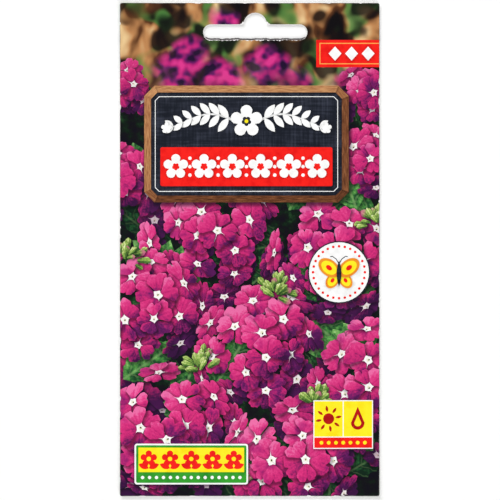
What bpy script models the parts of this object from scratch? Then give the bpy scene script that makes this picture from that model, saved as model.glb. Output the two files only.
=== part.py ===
"""A printed paper seed packet with a hang slot, lying on its back, with its loose seeds inside.

Two rectangles of laminated paper are heat-sealed to each other round all four edges. The top seal is a
deep header, punched with a hang slot, and the front sheet swells a little over the pocket that holds the
seeds. The packet's width runs along X, its header points to +Y, and its printed front faces +Z. The
origin is the middle of the back, where it rests. Metres.
"""

import math
import random

import bmesh
import bpy
from mathutils import Matrix, Vector

MM = 0.001

# The sheets. The two are alike in outline and lie one over the other.
PACKET_WIDTH = 80 * MM
PACKET_LENGTH = 152 * MM
PAPER_THICKNESS = 0.2 * MM
GLUE_LINE = 0.2 * MM
SIDE_SEAL = 5 * MM
BOTTOM_SEAL = 8 * MM
HEADER_SEAL = 20 * MM
SWELL = 2.2 * MM
GRID_CELL_X = 2.5 * MM
GRID_CELL_Y = 4 * MM

# The hang slot: a long bar with round ends and a dome on the middle of its upper edge.
SLOT_CENTRE_X = 1.7 * MM
SLOT_WIDTH = 32.2 * MM
SLOT_BAR_HEIGHT = 4.8 * MM
SLOT_BAR_BELOW_TOP = 11.4 * MM
SLOT_DOME_RADIUS = 3.6 * MM
SLOT_ARC_STEPS = 10

# The seeds: slim nutlets that lie loose on the back sheet, low in the pocket.
SEED_COUNT = 40
SEED_LENGTH = 3.4 * MM
SEED_WIDTH = 1.15 * MM
SEED_HEIGHT = 0.95 * MM
SEED_REST_GAP = 0.2 * MM
SEED_CLEARANCE = 0.35 * MM
SEED_PATCH_CENTRE_Y = -24 * MM
SEED_PATCH_HALF_WIDTH = 17 * MM
SEED_PATCH_HALF_LENGTH = 30 * MM

# Worked out from the sizes above.
SEAL_TOP = 2 * PAPER_THICKNESS + GLUE_LINE
POCKET_HALF_WIDTH = PACKET_WIDTH / 2 - SIDE_SEAL
POCKET_HALF_LENGTH = (PACKET_LENGTH - BOTTOM_SEAL - HEADER_SEAL) / 2
POCKET_CENTRE_Y = (BOTTOM_SEAL - HEADER_SEAL) / 2
SLOT_BAR_BOTTOM_Y = PACKET_LENGTH / 2 - SLOT_BAR_BELOW_TOP


def clear_scene():
    for obj in list(bpy.data.objects):
        bpy.data.objects.remove(obj, do_unlink=True)


def new_collection(name):
    collection = bpy.data.collections.new(name)
    bpy.context.scene.collection.children.link(collection)
    return collection


def finish_material(name, colour, roughness):
    material = bpy.data.materials.new(name)
    material.use_nodes = True
    shader = material.node_tree.nodes["Principled BSDF"]
    shader.inputs["Base Color"].default_value = (*colour, 1.0)
    shader.inputs["Roughness"].default_value = roughness
    shader.inputs["Metallic"].default_value = 0.0
    return material


def add_object(name, mesh, collection, material=None):
    obj = bpy.data.objects.new(name, mesh)
    collection.objects.link(obj)
    if material:
        mesh.materials.append(material)
    return obj


def pocket_swell(x, y):
    """How far the front sheet stands off its seals: a lens across the width, flatter along the length."""
    across = abs(x) / POCKET_HALF_WIDTH
    along = abs(y - POCKET_CENTRE_Y) / POCKET_HALF_LENGTH
    if across >= 1 or along >= 1:
        return 0.0
    return SWELL * (1 - across**2.2) * (1 - along**4)


def sheet_surface(name, height_at):
    """An open sheet of the packet's outline, on a grid whose lines meet the seals' edges."""
    columns = round(PACKET_WIDTH / GRID_CELL_X)
    rows = round(PACKET_LENGTH / GRID_CELL_Y)
    shape = bmesh.new()
    outline_scale = Matrix.Diagonal((PACKET_WIDTH, PACKET_LENGTH, 1.0, 1.0))
    bmesh.ops.create_grid(shape, x_segments=columns, y_segments=rows, size=0.5, matrix=outline_scale)
    for vertex in shape.verts:
        vertex.co.z = height_at(vertex.co.x, vertex.co.y)
    mesh = bpy.data.meshes.new(name)
    shape.to_mesh(mesh)
    shape.free()
    return mesh


def arc_points(centre_x, centre_y, radius, start_angle, end_angle):
    """Points along an arc, both ends included."""
    angles = [
        start_angle + (end_angle - start_angle) * step / SLOT_ARC_STEPS for step in range(SLOT_ARC_STEPS + 1)
    ]
    return [(centre_x + radius * math.cos(a), centre_y + radius * math.sin(a)) for a in angles]


def hang_slot_outline():
    """The slot's outline, counterclockwise: the right end, the dome, the left end."""
    end_radius = SLOT_BAR_HEIGHT / 2
    end_offset = SLOT_WIDTH / 2 - end_radius
    bar_y = SLOT_BAR_BOTTOM_Y + end_radius
    dome_y = SLOT_BAR_BOTTOM_Y + SLOT_BAR_HEIGHT
    right = arc_points(SLOT_CENTRE_X + end_offset, bar_y, end_radius, -math.pi / 2, math.pi / 2)
    dome = arc_points(SLOT_CENTRE_X, dome_y, SLOT_DOME_RADIUS, 0, math.pi)
    left = arc_points(SLOT_CENTRE_X - end_offset, bar_y, end_radius, math.pi / 2, 3 * math.pi / 2)
    return right + dome + left


def hang_slot_cutter(collection):
    """The slot's outline as a filled curve, thick enough to pass both sheets, made a closed mesh."""
    curve = bpy.data.curves.new("hang_slot_curve", "CURVE")
    curve.dimensions = "2D"
    curve.fill_mode = "BOTH"
    curve.extrude = 3 * MM
    points = hang_slot_outline()
    spline = curve.splines.new("POLY")
    spline.points.add(len(points) - 1)
    for point, (x, y) in zip(spline.points, points):
        point.co = (x, y, 0, 1)
    spline.use_cyclic_u = True
    guide = bpy.data.objects.new("hang_slot_guide", curve)
    collection.objects.link(guide)
    bpy.context.view_layer.update()
    evaluated = guide.evaluated_get(bpy.context.evaluated_depsgraph_get())
    mesh = bpy.data.meshes.new_from_object(evaluated)
    shape = bmesh.new()
    shape.from_mesh(mesh)
    bmesh.ops.remove_doubles(shape, verts=shape.verts, dist=0.001 * MM)
    bmesh.ops.recalc_face_normals(shape, faces=shape.faces)
    shape.to_mesh(mesh)
    shape.free()
    mesh.materials.clear()
    cutter = add_object("hang_slot_cutter", mesh, collection)
    cutter.matrix_world = guide.matrix_world.copy()
    bpy.data.objects.remove(guide, do_unlink=True)
    cutter.hide_render = True
    cutter.display_type = "WIRE"
    return cutter


def punched_sheet(name, height_at, collection, material, cutter):
    """A sheet of paper below the given surface, with the hang slot punched through it."""
    sheet = add_object(name, sheet_surface(name, height_at), collection, material)
    thickness = sheet.modifiers.new("paper_thickness", "SOLIDIFY")
    thickness.thickness = PAPER_THICKNESS
    thickness.offset = -1
    punch = sheet.modifiers.new("hang_slot", "BOOLEAN")
    punch.operation = "DIFFERENCE"
    punch.solver = "EXACT"
    punch.object = cutter
    return sheet


def seed_mesh():
    """A slim nutlet along X: rounded back, flatter belly, one end blunter than the other."""
    shape = bmesh.new()
    end_on_x = Matrix.Rotation(math.pi / 2, 4, "Y")
    bmesh.ops.create_uvsphere(shape, u_segments=10, v_segments=8, radius=1, matrix=end_on_x)
    for vertex in shape.verts:
        taper = 1 - 0.16 * vertex.co.x
        belly = 0.7 if vertex.co.z < 0 else 1.0
        vertex.co.x *= SEED_LENGTH / 2
        vertex.co.y *= SEED_WIDTH / 2 * taper
        vertex.co.z *= SEED_HEIGHT / 1.7 * belly * taper
    bmesh.ops.recalc_face_normals(shape, faces=shape.faces)
    mesh = bpy.data.meshes.new("seed")
    shape.to_mesh(mesh)
    shape.free()
    mesh.shade_smooth()
    return mesh


def segment_gap(first, second):
    """The least distance between two seeds' axes, each given as its two ends on the sheet."""
    samples = [index / 6 for index in range(7)]
    points_a = [first[0].lerp(first[1], s) for s in samples]
    points_b = [second[0].lerp(second[1], s) for s in samples]
    return min((a - b).length for a in points_a for b in points_b)


def scattered_seeds():
    """Places and turns of the seeds: drawn at random in the patch, kept where they clear the others."""
    draw = random.Random(11)
    placed = []
    while len(placed) < SEED_COUNT:
        radius = math.sqrt(draw.random())
        angle = draw.uniform(0, 2 * math.pi)
        turn = draw.uniform(0, 2 * math.pi)
        centre = Vector((
            SEED_PATCH_HALF_WIDTH * radius * math.cos(angle),
            SEED_PATCH_CENTRE_Y + SEED_PATCH_HALF_LENGTH * radius * math.sin(angle),
        ))
        half_axis = Vector((math.cos(turn), math.sin(turn))) * (SEED_LENGTH / 2)
        axis = (centre - half_axis, centre + half_axis)
        if all(segment_gap(axis, other[2]) > SEED_WIDTH + SEED_CLEARANCE for other in placed):
            placed.append((centre, turn, axis))
    return placed


def add_seeds(collection, material):
    mesh = seed_mesh()
    mesh.materials.append(material)
    lowest = min(vertex.co.z for vertex in mesh.vertices)
    seed_z = PAPER_THICKNESS + SEED_REST_GAP - lowest
    for number, (centre, turn, _) in enumerate(scattered_seeds(), start=1):
        seed = bpy.data.objects.new(f"seed_{number:02d}", mesh)
        collection.objects.link(seed)
        seed.location = (centre.x, centre.y, seed_z)
        seed.rotation_euler = (0, 0, turn)


clear_scene()
packet = new_collection("seed_packet")
cutters = new_collection("cutters")
slot_cutter = hang_slot_cutter(cutters)
punched_sheet(
    "front_sheet",
    lambda x, y: SEAL_TOP + pocket_swell(x, y),
    packet,
    finish_material("printed_front", (0.62, 0.03, 0.19), 0.38),
    slot_cutter,
)
punched_sheet(
    "back_sheet",
    lambda x, y: PAPER_THICKNESS,
    packet,
    finish_material("printed_back", (0.83, 0.8, 0.7), 0.45),
    slot_cutter,
)
add_seeds(packet, finish_material("seed_coat", (0.2, 0.1, 0.045), 0.75))
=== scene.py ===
import math
from collections import namedtuple
from itertools import chain

import bpy
import numpy as np
from mathutils import Matrix, Vector
from mathutils.geometry import delaunay_2d_cdt


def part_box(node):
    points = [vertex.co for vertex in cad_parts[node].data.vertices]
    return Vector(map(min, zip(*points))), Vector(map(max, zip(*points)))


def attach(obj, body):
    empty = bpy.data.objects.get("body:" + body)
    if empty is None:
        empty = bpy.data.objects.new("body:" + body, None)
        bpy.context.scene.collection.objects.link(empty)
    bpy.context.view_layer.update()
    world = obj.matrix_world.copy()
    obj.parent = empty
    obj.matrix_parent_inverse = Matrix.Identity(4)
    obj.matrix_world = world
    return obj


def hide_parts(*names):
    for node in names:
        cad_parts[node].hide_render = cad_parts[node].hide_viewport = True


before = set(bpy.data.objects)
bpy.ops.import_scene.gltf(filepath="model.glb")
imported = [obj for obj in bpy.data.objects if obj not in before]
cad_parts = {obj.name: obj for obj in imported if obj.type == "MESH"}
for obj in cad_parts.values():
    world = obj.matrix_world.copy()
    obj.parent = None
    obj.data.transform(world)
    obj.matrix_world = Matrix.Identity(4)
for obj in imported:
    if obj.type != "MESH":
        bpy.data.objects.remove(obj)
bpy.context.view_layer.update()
MM = 0.001

# The table, the light and the camera.
# The packet lies on a pale table between two wide, soft lamps, past its header and past its foot. The camera
# looks straight down from far off, and the room is dark overhead, so that no glare veils the print.
PHOTO_SIDE = 500
PIXEL = 0.3084 * MM
PACKET_CENTRE_IN_PHOTO = (249.7, 249.55)
LENS = 200
SENSOR = 36
TABLE_DROP = 0.02 * MM


def linear(colour):
    """A colour as it reads in a picture, 0 to 255, as the shader's own linear light."""
    parts = np.array(colour, float) / 255
    return (*np.where(parts <= 0.04045, parts / 12.92, ((parts + 0.055) / 1.055) ** 2.4), 1.0)


class Signal:
    """A node's output in a material. Sums on it add Math nodes."""

    def __init__(self, shop, socket):
        self.shop = shop
        self.socket = socket

    def math(self, operation, *others):
        return self.shop.node("Math", {"operation": operation}, dict(enumerate((self, *others))))

    def __add__(self, other):
        return self.math("ADD", other)

    def __sub__(self, other):
        return self.math("SUBTRACT", other)

    def __mul__(self, other):
        return self.math("MULTIPLY", other)

    def __pow__(self, other):
        return self.math("POWER", other)

    def __rsub__(self, other):
        return self.math("MULTIPLY_ADD", -1.0, other)

    def __abs__(self):
        return self.math("ABSOLUTE")

    __radd__ = __add__

    def sine(self):
        return self.math("SINE")

    def part(self, axis):
        """One of a vector's three numbers."""
        return self.shop.node("SeparateXYZ", {}, {0: self}, axis)

    def rise(self, low, high):
        """0 below low, 1 above high and a smooth step between them. With low above high it falls."""
        limits = {"Value": self, "From Min": low, "From Max": high}
        return self.shop.node("MapRange", {"interpolation_type": "SMOOTHSTEP"}, limits)


class Shop:
    """A material or the room in the making: its main shader, one method that adds any node, and short ways to
    the nodes used most. A colour is given as it reads in a picture, 0 to 255."""

    def __init__(self, name, owner=None, shader="Principled BSDF"):
        self.owner = owner or bpy.data.materials.new(name)
        self.owner.use_nodes = True
        self.tree = self.owner.node_tree
        self.shader = self.tree.nodes[shader]

    def node(self, kind, settings, inputs, output=0):
        made = self.tree.nodes.new("ShaderNode" + kind)
        for key, value in settings.items():
            if key == "stops":
                while len(made.color_ramp.elements) < len(value):
                    made.color_ramp.elements.new(0.5)
                for element, (place, colour) in zip(made.color_ramp.elements, value):
                    element.position = place
                    element.color = linear(colour)
            else:
                setattr(made, key, value)
        for key, value in inputs.items():
            self.feed(self.socket(made.inputs, key), value)
        return Signal(self, self.socket(made.outputs, output))

    def socket(self, sockets, key):
        """The socket of that number, identifier or name."""
        if isinstance(key, int):
            return sockets[key]
        return next(socket for socket in sockets if key in (socket.identifier, socket.name))

    def feed(self, socket, value):
        if isinstance(value, Signal):
            self.tree.links.new(value.socket, socket)
        else:
            socket.default_value = linear(value) if socket.type == "RGBA" else value

    def set(self, **values):
        """Feeds the shader's sockets, named in lower case with _ for a space."""
        for key, value in values.items():
            name = {"ior_level": "Specular IOR Level"}.get(key, key.replace("_", " ").title())
            self.feed(self.shader.inputs[name], value)
        return self.owner

    def place(self):
        return self.node("TexCoord", {}, {}, "Object")

    def attribute(self, name, output="Vector"):
        return self.node("Attribute", {"attribute_name": name}, {}, output)

    def vector(self, operation, first, second, output=0):
        return self.node("VectorMath", {"operation": operation}, {0: first, 1: second}, output)

    def mix(self, first, second, factor):
        inputs = {"Factor_Float": factor, "A_Color": first, "B_Color": second}
        return self.node("Mix", {"data_type": "RGBA"}, inputs, "Result_Color")

    def ramp(self, value, *stops):
        """The colours of the stops, each given with its place, run through as the value rises."""
        return self.node("ValToRGB", {"stops": stops}, {0: value})

    def noise(self, where, size_mm, detail=2.0, roughness=0.5, shift=(0, 0, 0), output=0):
        """Smooth random values about 0.5, with lumps of about size_mm. The place is in metres. A shift takes
        them from elsewhere in the noise."""
        where = self.vector("ADD", where, shift) if any(shift) else where
        inputs = {"Vector": where, "Scale": 1 / (size_mm * MM), "Detail": detail, "Roughness": roughness}
        return self.node("TexNoise", {}, inputs, output)

    def bump(self, height, strength, depth_mm):
        inputs = {"Strength": strength, "Distance": depth_mm * MM, "Height": height}
        return self.node("Bump", {}, inputs, "Normal")


def soft_lamp(name, place, power):
    lamp = bpy.data.objects.new(name, bpy.data.lights.new(name, "AREA"))
    lamp.data.shape = "RECTANGLE"
    lamp.data.size = 0.9
    lamp.data.size_y = 0.7
    lamp.data.energy = power
    lamp.location = place
    lamp.rotation_euler = (-Vector(place)).to_track_quat("-Z", "Y").to_euler()
    bpy.context.scene.collection.objects.link(lamp)


soft_lamp("lamp_header", (-0.35, 0.95, 0.62), 11.0)
soft_lamp("lamp_foot", (0.3, -0.95, 0.58), 7.8)

room = Shop("room", bpy.data.worlds.new("room"), "Background")
overhead = room.node("TexCoord", {}, {}, "Generated").part(2)
bpy.context.scene.world = room.set(color=(254, 254.4, 255), strength=0.58 - overhead.rise(0.79, 0.95) * 0.56)
bpy.context.scene.view_settings.view_transform = "Standard"

bpy.ops.mesh.primitive_plane_add(size=6)
table = bpy.context.object
table.name = "table_top"
table.data.transform(Matrix.Translation((0, 0, -TABLE_DROP)))
shop = Shop("table_top")
grain = shop.noise(shop.place(), 40, 3.0)
shop.set(base_color=shop.mix((250.5, 250.5, 249.3), (252.7, 252.7, 251.6), grain), roughness=0.75)
table.data.materials.append(shop.owner)

camera = bpy.data.objects.new("camera", bpy.data.cameras.new("camera"))
camera.data.lens = LENS
camera.data.sensor_width = SENSOR
camera.data.clip_end = 10
camera.location = (
    (PHOTO_SIDE / 2 - PACKET_CENTRE_IN_PHOTO[0]) * PIXEL,
    (PACKET_CENTRE_IN_PHOTO[1] - PHOTO_SIDE / 2) * PIXEL,
    PHOTO_SIDE * PIXEL * LENS / SENSOR,
)
bpy.context.scene.collection.objects.link(camera)
bpy.context.scene.camera = camera

# The back sheet.
# A flat rectangle of white paper, printed in flat inks on its outer face, under a clear film. It lies face
# down on the table and is sealed to the front sheet round all four edges. Sizes here are in mm.
HALF_WIDTH, HALF_LENGTH = np.array(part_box("back_sheet")[1][:2]) / MM
SHEET_THICKNESS = 0.2
WORN_CORNER = 0.65
SIDE_SEAL, BOTTOM_SEAL, HEADER_SEAL = 5.0, 8.0, 20.0
SLOT_CENTRE_X = 1.7
SLOT_HALF_WIDTH = 16.1
SLOT_BAR_HEIGHT = 4.8
SLOT_END = SLOT_BAR_HEIGHT / 2
SLOT_BAR_BOTTOM_Y = HALF_LENGTH - 11.4
SLOT_DOME_RADIUS = 3.6
BAR_HALF = SLOT_HALF_WIDTH - SLOT_END
BAR_X = np.linspace(-BAR_HALF, BAR_HALF, 62)[1:-1]
BURR = 0.5
MERGE_DISTANCE = 0.002
INNER_SPACING = 2.2
INNER_MERGE = 0.00001
CLEAR_OF_SLOT, CLEAR_OF_EDGE = 0.3, 0.6


def toward(angle):
    """The step of length 1 at an angle in radians."""
    return np.array([math.cos(angle), math.sin(angle)])


def turned(angle, scale_x=1.0, scale_y=1.0):
    """The axes of a motif turned by an angle in radians and stretched along its own x and y."""
    return np.column_stack([toward(angle) * scale_x, toward(angle + math.pi / 2) * scale_y])


def arc(centre_x, centre_y, radius, start, end, steps):
    """Points on an arc of a circle, from one angle to another in degrees."""
    angles = np.radians(np.linspace(start, end, steps + 1))
    return np.column_stack([centre_x + radius * np.cos(angles), centre_y + radius * np.sin(angles)])


def disc(x, y, radius, points=10):
    """A circle with that many points."""
    return arc(x, y, radius, 0, 360 - 360 / points, points - 1)


def rectangle(x0, y0, x1, y1, corner=0.0, steps=4):
    """A rectangle with round corners, counterclockwise. With no corner radius it has four points."""
    if not corner:
        return np.array([(x0, y0), (x1, y0), (x1, y1), (x0, y1)], float)
    return np.vstack([
        arc(x1 - corner, y0 + corner, corner, -90, 0, steps),
        arc(x1 - corner, y1 - corner, corner, 0, 90, steps),
        arc(x0 + corner, y1 - corner, corner, 90, 180, steps),
        arc(x0 + corner, y0 + corner, corner, 180, 270, steps),
    ])


def blade(base, angle, length, width, steps=7):
    """A pointed oval from its base: half the width times the sine of the way along it, to the 0.8."""
    share = np.linspace(0, 1, steps + 1)
    half = 0.5 * width * np.abs(np.sin(math.pi * share)) ** 0.8
    upper = np.column_stack([share * length, half])
    outline = np.vstack([upper, (upper * (1, -1))[-2:0:-1]])
    return outline[::-1] @ turned(angle).T + base


def ribbon(points, width):
    """A band along a path: each point moved half the width to one side, then to the other."""
    points = np.array(points, float)
    run = np.gradient(points, axis=0)
    run /= np.linalg.norm(run, axis=1)[:, None]
    side = np.column_stack([-run[:, 1], run[:, 0]]) * (np.broadcast_to(width, len(points))[:, None] / 2)
    return np.vstack([points - side, (points + side)[::-1]])


def rosette(centre, radius, depth=0.42, spin=90.0):
    """A flower of five petals: a circle drawn in between them, by the sine of the turn inside each petal."""
    turns = np.linspace(0, 2 * math.pi, 40, endpoint=False)
    reach = radius * (1 - depth + depth * np.abs(np.sin(5 * turns / 2)) ** 0.6)
    turns = turns + math.radians(spin) - math.pi / 5
    return np.column_stack([np.cos(turns), np.sin(turns)]) * reach[:, None] + centre


def drop(x, y, radius, peak, steps=10):
    """A drop of water: the lower half of a circle, and a point so far above its centre."""
    return np.vstack([arc(x, y, radius, 180, 360, steps), [(x, y + peak)]])


def slot_wander(x):
    """How far the punch's lower edge strays from straight, in mm: two sine waves that end with the bar."""
    return (0.09 * np.sin(x * 0.83) + 0.05 * np.sin(x * 2.1 + 1)) * (1 - (x / BAR_HALF) ** 8)


def slot_outline(centre_x, lower_edge):
    """The hang slot: the bar's right end, the dome on its upper edge, its left end, and its lower edge, whose
    points at BAR_X stand so far above the bar's straight bottom."""
    return np.vstack([
        arc(centre_x + BAR_HALF, SLOT_BAR_BOTTOM_Y + SLOT_END, SLOT_END, -90, 90, 14),
        arc(centre_x, SLOT_BAR_BOTTOM_Y + SLOT_BAR_HEIGHT, SLOT_DOME_RADIUS, 0, 180, 18),
        arc(centre_x - BAR_HALF, SLOT_BAR_BOTTOM_Y + SLOT_END, SLOT_END, 90, 270, 14),
        np.column_stack([centre_x + BAR_X, SLOT_BAR_BOTTOM_Y + lower_edge]),
    ])


def inside(points, start, end):
    """True for each point inside the edges that run from start to end, by how often a line from the point to
    the right crosses them."""
    spans = (start[:, 1] > points[:, None, 1]) != (end[:, 1] > points[:, None, 1])
    rise = np.where(end[:, 1] == start[:, 1], 1.0, end[:, 1] - start[:, 1])
    crossing = start[:, 0] + (points[:, None, 1] - start[:, 1]) * (end[:, 0] - start[:, 0]) / rise
    return (spans & (points[:, None, 0] < crossing)).sum(axis=1) % 2 == 1


def distance_to(points, outline):
    """Each point's distance to the nearest edge of the outline."""
    run = np.roll(outline, -1, axis=0) - outline
    offset = points[:, None, :] - outline
    share = np.clip((offset * run).sum(axis=2) / np.maximum((run * run).sum(axis=1), 1e-12), 0, 1)
    return np.sqrt(((offset - share[..., None] * run) ** 2).sum(axis=2).min(axis=1))


def divided(outline, longest=2.0):
    """The same outline with points added evenly along each side that is longer than that, so that it follows
    the sheet's swell."""
    run = np.roll(outline, -1, axis=0) - outline
    counts = np.ceil(np.linalg.norm(run, axis=1) / longest).astype(int).clip(1)
    side = np.repeat(np.arange(len(outline)), counts)
    step = np.arange(len(side)) - np.repeat(np.cumsum(counts) - counts, counts)
    return outline[side] + run[side] * (step / counts[side])[:, None]


def sheet_grid(spacing):
    """Points over the whole sheet, about a spacing apart and clear of its edges."""
    columns, rows = (np.arange(-half + spacing / 2, half, spacing) for half in (HALF_WIDTH, HALF_LENGTH))
    grid = np.stack(np.meshgrid(columns, rows), axis=-1).reshape(-1, 2)
    jitter = np.random.default_rng(5).uniform(-0.3, 0.3, grid.shape) * spacing
    reach = np.array((HALF_WIDTH, HALF_LENGTH)) - WORN_CORNER
    return np.clip(grid + jitter, -reach, reach)


Motif = namedtuple("Motif", "outline ink origin axes tint light shadow")


class Print:
    """The motifs of one printed face, in the order that they are laid, in mm as the face is read. They are
    flat outlines laid one over another like cut paper."""

    LIGHT_FALLS = np.array([0.35, -0.5])

    def __init__(self):
        self.motifs = []

    def lay(self, outline, ink, origin=(0, 0), axes=np.eye(2), tint=0.0, light=(0, 0, 0), shadow=(0, 0)):
        """Adds one outline. origin and axes carry the motif's own coordinates onto the face. light is how
        brightly it is lit at its origin, and how much that changes along its first and its second axis.
        shadow is how dark its shadow is on what lies under it, and how far in mm it reaches."""
        self.motifs.append(Motif(outline, ink, origin, axes, tint, light, shadow))

    def values(self, field):
        """What every motif has in that field, as one array."""
        return np.array([getattr(motif, field) for motif in self.motifs], float)

    def shadows(self, points, corners, layer):
        """How dark each corner of each triangle is, from the motifs laid above that triangle."""
        light = np.ones(corners.size)
        order = np.argsort(points[:, 0])
        sorted_x = points[order, 0]
        by_point = np.argsort(corners, axis=None)
        first = np.searchsorted(corners.ravel()[by_point], np.arange(len(points) + 1))
        corner_layer = layer.repeat(3)
        for number, motif in enumerate(self.motifs):
            dark, reach = motif.shadow
            if not dark:
                continue
            cast = motif.outline + self.LIGHT_FALLS * reach
            low, high = cast.min(axis=0) - reach, cast.max(axis=0) + reach
            near = order[np.searchsorted(sorted_x, low[0]):np.searchsorted(sorted_x, high[0])]
            near = near[(points[near, 1] > low[1]) & (points[near, 1] < high[1])]
            if not len(near):
                continue
            covered = inside(points[near], cast, np.roll(cast, -1, axis=0))
            gap = np.where(covered, 0.0, distance_to(points[near], cast)) / reach
            fade = np.clip(1 - gap, 0, 1)
            value = 1 - dark * fade * fade * (3 - 2 * fade)
            counts = first[near + 1] - first[near]
            starts = np.repeat(first[near] - np.concatenate([[0], np.cumsum(counts)[:-1]]), counts)
            met = by_point[starts + np.arange(counts.sum())]
            below = corner_layer[met] < number
            light[met[below]] *= np.repeat(value, counts)[below]
        return 1 - light

    def skin(self, border, hole, spacing):
        """One triangulation of every outline inside the border and outside the hole, so that each triangle
        takes the ink of the topmost motif above it. Returns the points, the triangles and their layers."""
        loops = [divided(loop) for loop in (border, hole, *(motif.outline for motif in self.motifs))]
        ends = np.cumsum([0] + [len(loop) for loop in loops])
        outlines = [list(range(start, end)) for start, end in zip(ends[:-1], ends[1:])]
        given = [Vector(point) for point in np.vstack([*loops, sheet_grid(spacing)]).tolist()]
        points, _, triangles, _, _, covers = delaunay_2d_cdt(given, [], outlines, 0, MERGE_DISTANCE, True)
        kept = np.array([0 in cover and 1 not in cover for cover in covers])
        layer = np.array([max(cover, default=0) - 2 for cover in covers])
        points = np.array([tuple(point) for point in points])
        used, triangles = np.unique(np.array(triangles)[kept], return_inverse=True)
        return points[used], triangles.reshape(-1, 3), layer[kept]


def open_edges(triangles):
    """The edges that only one triangle has, each in that triangle's direction."""
    edges = np.concatenate([triangles[:, [0, 1]], triangles[:, [1, 2]], triangles[:, [2, 0]]])
    keys = edges.min(axis=1) * (triangles.max() + 1) + edges.max(axis=1)
    _, where, times = np.unique(keys, return_inverse=True, return_counts=True)
    return edges[times[where.ravel()] == 1]


def inner_skin(points, rim, border, hole):
    """A plain, coarse triangulation inside the printed skin's rim. Returns its points and triangles, and for
    each end of each rim edge the inner point under it."""
    rim_points = np.unique(rim)
    rim_ends = points[rim[:, 0]], points[rim[:, 1]]
    coarse = sheet_grid(INNER_SPACING)
    clear = (distance_to(coarse, hole) > CLEAR_OF_SLOT) & (distance_to(coarse, border) > CLEAR_OF_EDGE)
    coarse = coarse[clear & inside(coarse, *rim_ends)]
    given = [Vector(point) for point in np.vstack([points[rim_points], coarse]).tolist()]
    edges = np.searchsorted(rim_points, rim)
    inner, _, triangles, origins, _, _ = delaunay_2d_cdt(given, edges.tolist(), [], 0, INNER_MERGE, True)
    inner, triangles = np.array([tuple(point) for point in inner]), np.array(triangles)
    counts = np.fromiter(map(len, origins), int)
    to_inner = np.full(len(given), -1)
    to_inner[np.fromiter(chain.from_iterable(origins), int)] = np.repeat(np.arange(len(origins)), counts)
    return inner, triangles[inside(inner[triangles].mean(axis=1), *rim_ends)], to_inner[edges]


def closed_sheet(name, printing, inks, bare, hole, height, side, spacing):
    """A closed sheet: the printed skin, a plain inner skin one thickness away, and the cut edges between
    them. side is 1 where the print faces up, and -1 where it faces down and is read from below. The print's
    inks come first among its materials, and bare paper last."""
    border = rectangle(-HALF_WIDTH, -HALF_LENGTH, HALF_WIDTH, HALF_LENGTH, WORN_CORNER, 5)
    points, triangles, layer = printing.skin(border, hole, spacing)
    rim = open_edges(triangles)
    inner, inner_triangles, under = inner_skin(points, rim, border, hole)
    offset = len(points)
    walls = np.concatenate([
        np.column_stack([rim[:, 1], rim[:, 0], under[:, 0] + offset]),
        np.column_stack([rim[:, 1], under + offset]),
    ])
    faces = np.concatenate([triangles, inner_triangles[:, ::-1] + offset, walls])
    flat = np.vstack([points, inner])
    x = flat[:, 0] * side
    z = height(x, flat[:, 1])
    z[offset:] -= side * SHEET_THICKNESS
    mesh = bpy.data.meshes.new(name)
    mesh.from_pydata((np.column_stack([x, flat[:, 1], z]) * MM).tolist(), [], faces.tolist())
    wears = np.full(len(faces), len(inks), np.int32)
    wears[:len(triangles)] = printing.values("ink")[layer]
    mesh.polygons.foreach_set("material_index", wears)
    for ink in [*inks, bare]:
        mesh.materials.append(ink)
    motif = layer.repeat(3)
    printed = len(motif)
    own = np.zeros((len(faces) * 3, 3))
    light = np.zeros_like(own)
    shadow = np.zeros(len(own))
    undo = np.linalg.inv(printing.values("axes"))[motif]
    from_origin = points[triangles.ravel()] - printing.values("origin")[motif]
    own[:printed, :2] = np.einsum("nij,nj->ni", undo, from_origin)
    own[:printed, 2] = printing.values("tint")[motif]
    light[:printed] = printing.values("light")[motif]
    shadow[:printed] = printing.shadows(points, triangles, layer)
    mesh.attributes.new("motif", "FLOAT_VECTOR", "CORNER").data.foreach_set("vector", own.ravel())
    mesh.attributes.new("light", "FLOAT_VECTOR", "CORNER").data.foreach_set("vector", light.ravel())
    mesh.attributes.new("shadow", "FLOAT", "CORNER").data.foreach_set("value", shadow)
    mesh.validate()
    sheet = bpy.data.objects.new(name, mesh)
    bpy.context.scene.collection.objects.link(sheet)
    return sheet


RIB_PITCH, SEAL_FADE = 0.9, 0.4


def laminate(shop, colour):
    """The finish of all printed inks: a clear film over the ink, with the paper's fibres just showing through
    it, slow waves from the hot roller, and fine ribs where the heated jaws pressed the seals."""
    place = shop.place()
    fibres = shop.noise(place, 0.35, 3.0, 0.6)
    waves = shop.noise(place, 5.0, 2.0)
    across, along = place.part(0), place.part(1)
    ribs = (along * (2 * math.pi / (RIB_PITCH * MM))).sine() * 0.5 + 0.5
    header, foot, sides = (way.rise(start * MM, (start + fade) * MM) for way, start, fade in (
        (along, HALF_LENGTH - HEADER_SEAL, SEAL_FADE),
        (along, BOTTOM_SEAL - HALF_LENGTH, -SEAL_FADE),
        (abs(across), HALF_WIDTH - SIDE_SEAL, SEAL_FADE),
    ))
    sealed = header.math("MAXIMUM", foot).math("MAXIMUM", sides)
    bump = shop.bump(fibres * 0.3 + waves * 1.5 + ribs * sealed * 0.25, 0.35, 0.03)
    return shop.set(base_color=colour, roughness=0.28 + fibres * 0.08, ior_level=0.3, normal=bump)


def shaded(shop, colour, dark, share):
    """A laminated ink that turns to a dark colour, by up to that share, where motifs above cast a shadow."""
    return laminate(shop, shop.mix(colour, dark, shop.attribute("shadow", "Fac") * share))


def flat_ink(name, colour, deeper, size_mm=2.5):
    """A solid ink, a little uneven, as a press lays it."""
    shop = Shop(name)
    uneven = shop.noise(shop.place(), size_mm, 3.0)
    return shaded(shop, shop.mix(deeper, colour, uneven.rise(0.25, 0.6)), (0, 0, 0), 0.7)


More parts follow.
